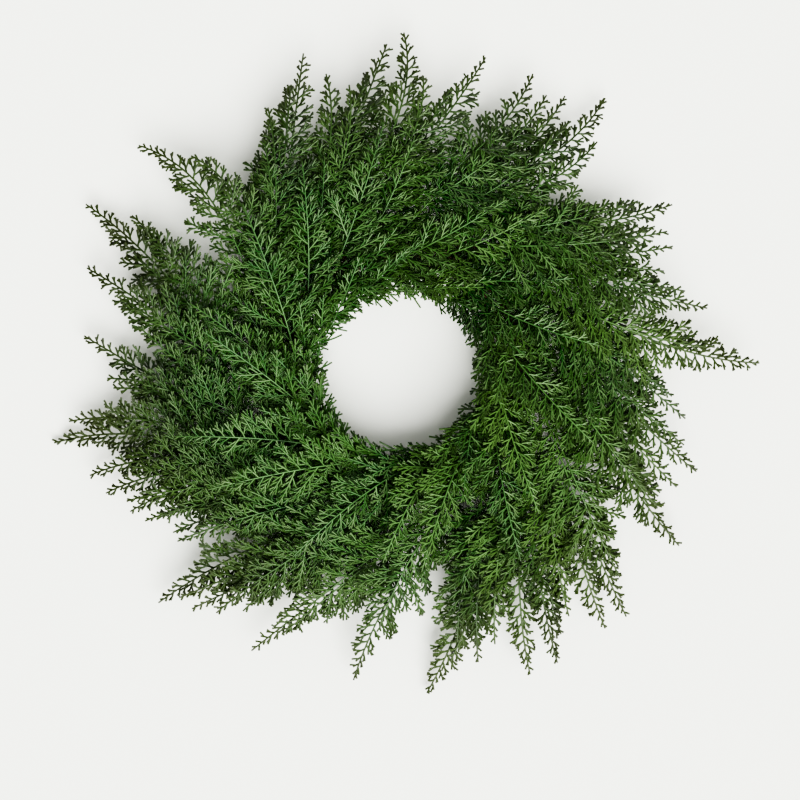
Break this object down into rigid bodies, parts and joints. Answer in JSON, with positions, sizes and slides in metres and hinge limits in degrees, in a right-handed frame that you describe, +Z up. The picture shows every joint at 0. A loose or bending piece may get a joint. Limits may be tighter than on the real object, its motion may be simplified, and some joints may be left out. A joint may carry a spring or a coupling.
{
  "type": "cedar wreath",
  "caption": "Round wreath of flat cedar sprays that fan out clockwise, wired to a ring of vine hoops, with an open hole in the middle. It lies face up.",
  "frame": {"origin": "centre of the bounding box, at the level of the surface that the wreath lies on", "axes": "+Z up, out of the wreath's face; +Y is the top of the wreath as it would hang; +X to the right of that, along its longest extent"},
  "size_m": [0.6113, 0.5722, 0.08],
  "materials": {
    "cedar": "matte moulded cedar green, lighter grey-green on top and dark below, with olive tips",
    "vine": "rough dry vine bark, dark brown",
    "wire": "dark green lacquered florist's wire"
  },
  "bodies": {
    "root": {"vine_hoop_outer": "vine", "vine_hoop_middle": "vine", "vine_hoop_inner": "vine", "binding_wire": "wire", "spray_01": "cedar", "spray_02": "cedar", "spray_03": "cedar", "spray_04": "cedar", "spray_05": "cedar", "spray_06": "cedar", "spray_07": "cedar", "spray_08": "cedar", "spray_09": "cedar", "spray_10": "cedar", "spray_11": "cedar", "spray_12": "cedar", "spray_13": "cedar", "spray_14": "cedar", "spray_15": "cedar", "spray_16": "cedar", "spray_17": "cedar", "spray_18": "cedar", "spray_19": "cedar", "spray_20": "cedar", "spray_21": "cedar", "spray_22": "cedar", "spray_23": "cedar", "spray_24": "cedar", "spray_25": "cedar", "spray_26": "cedar", "spray_27": "cedar", "spray_28": "cedar", "spray_29": "cedar", "spray_30": "cedar", "spray_31": "cedar", "spray_32": "cedar", "spray_33": "cedar", "spray_34": "cedar", "spray_35": "cedar", "spray_36": "cedar", "spray_37": "cedar", "spray_38": "cedar", "spray_39": "cedar", "spray_40": "cedar", "spray_41": "cedar", "spray_42": "cedar", "spray_43": "cedar", "spray_44": "cedar", "spray_45": "cedar", "spray_46": "cedar", "spray_47": "cedar", "spray_48": "cedar", "spray_49": "cedar", "spray_50": "cedar", "spray_51": "cedar", "spray_52": "cedar", "spray_53": "cedar", "spray_54": "cedar"}
  },
  "joints": []
}
